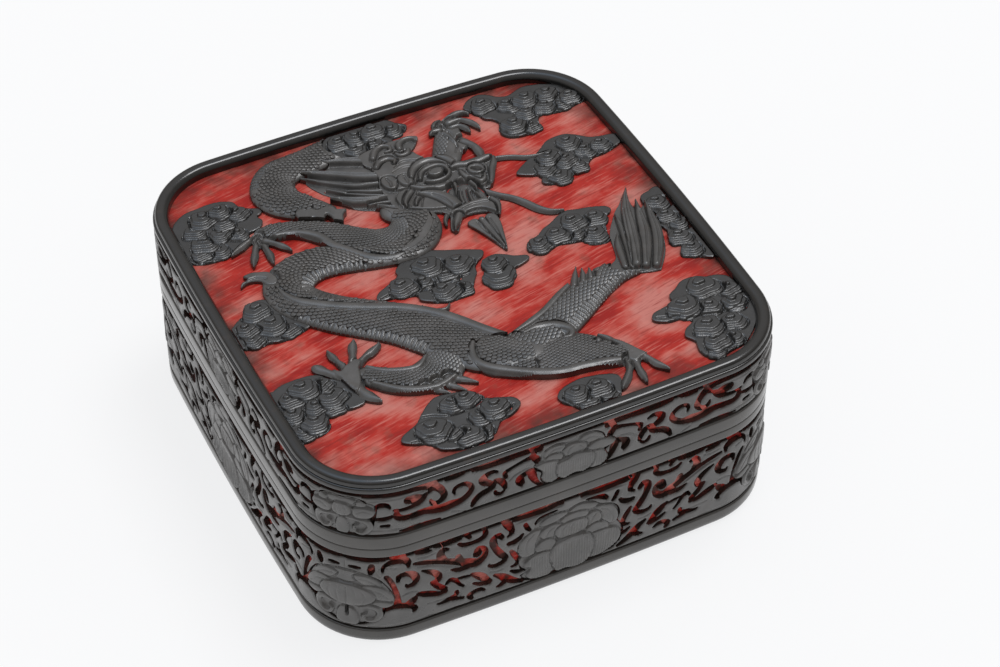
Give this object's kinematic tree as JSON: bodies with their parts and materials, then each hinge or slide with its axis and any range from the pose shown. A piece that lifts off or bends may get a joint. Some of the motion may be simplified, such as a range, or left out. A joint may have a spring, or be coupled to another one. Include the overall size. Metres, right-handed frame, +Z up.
{
  "type": "carved lacquer box",
  "caption": "Low square box with rounded corners and a lift-off lid, black lacquer carved with a dragon among clouds over a red ground, scrolls and flowers round the sides.",
  "frame": {"origin": "under the middle of the foot, on the surface that the box stands on", "axes": "+Z up through the lid, front towards -Y with the dragon upright, +X to the right seen from the front"},
  "size_m": [0.1512, 0.1522, 0.0655],
  "materials": {
    "wood_core": "bare softwood core, sealed under the lacquer",
    "red_lacquer": "vermilion lacquer ground, rubbed and streaky, half matt",
    "polished_black_lacquer": "black lacquer mouldings, polished to a satin gloss",
    "carved_black_lacquer": "thick black lacquer, carved, satin tops and dull cuts",
    "lining_lacquer": "thin smooth black lacquer inside and underneath"
  },
  "bodies": {
    "base": {"base_foot_rim": "polished_black_lacquer", "base_floor_board": "wood_core", "base_underside_lacquer": "lining_lacquer", "base_wall_hoop": "wood_core", "base_lip_hoop": "wood_core", "base_inner_lining": "lining_lacquer", "base_red_ground": "red_lacquer", "base_scroll_band": "carved_black_lacquer", "base_peony_medallions": "carved_black_lacquer", "base_corner_flowers": "carved_black_lacquer", "base_mouth_rim": "polished_black_lacquer"},
    "lid": {"lid_wall_hoop": "wood_core", "lid_top_board": "wood_core", "lid_inner_lining": "lining_lacquer", "lid_lower_rim": "polished_black_lacquer", "lid_red_ground": "red_lacquer", "lid_scroll_band": "carved_black_lacquer", "lid_peony_medallions": "carved_black_lacquer", "lid_corner_flowers": "carved_black_lacquer", "lid_upper_fillet": "polished_black_lacquer", "lid_top_frame": "polished_black_lacquer", "lid_red_panel": "red_lacquer", "dragon_head": "carved_black_lacquer", "dragon_beard": "carved_black_lacquer", "dragon_mane": "carved_black_lacquer", "dragon_whiskers": "carved_black_lacquer", "dragon_left_foreleg": "carved_black_lacquer", "dragon_right_foreleg": "carved_black_lacquer", "dragon_left_hind_leg": "carved_black_lacquer", "dragon_right_hind_leg": "carved_black_lacquer", "dragon_tail_tuft": "carved_black_lacquer", "dragon_trunk": "carved_black_lacquer", "dragon_tail": "carved_black_lacquer", "dragon_neck": "carved_black_lacquer", "cloud_top": "carved_black_lacquer", "cloud_top_right": "carved_black_lacquer", "cloud_upper_right": "carved_black_lacquer", "cloud_mid_right": "carved_black_lacquer", "cloud_far_right": "carved_black_lacquer", "cloud_lower_right": "carved_black_lacquer", "cloud_bottom_right": "carved_black_lacquer", "cloud_bottom": "carved_black_lacquer", "cloud_lower_left": "carved_black_lacquer", "cloud_mid_left": "carved_black_lacquer", "cloud_upper_left": "carved_black_lacquer", "cloud_centre": "carved_black_lacquer", "cloud_centre_small": "carved_black_lacquer"}
  },
  "joints": [
    {"name": "lid_lift", "type": "slide", "parent": "base", "child": "lid", "axis": [0, 0, 1], "range_m": [0, 0.08]}
  ]
}
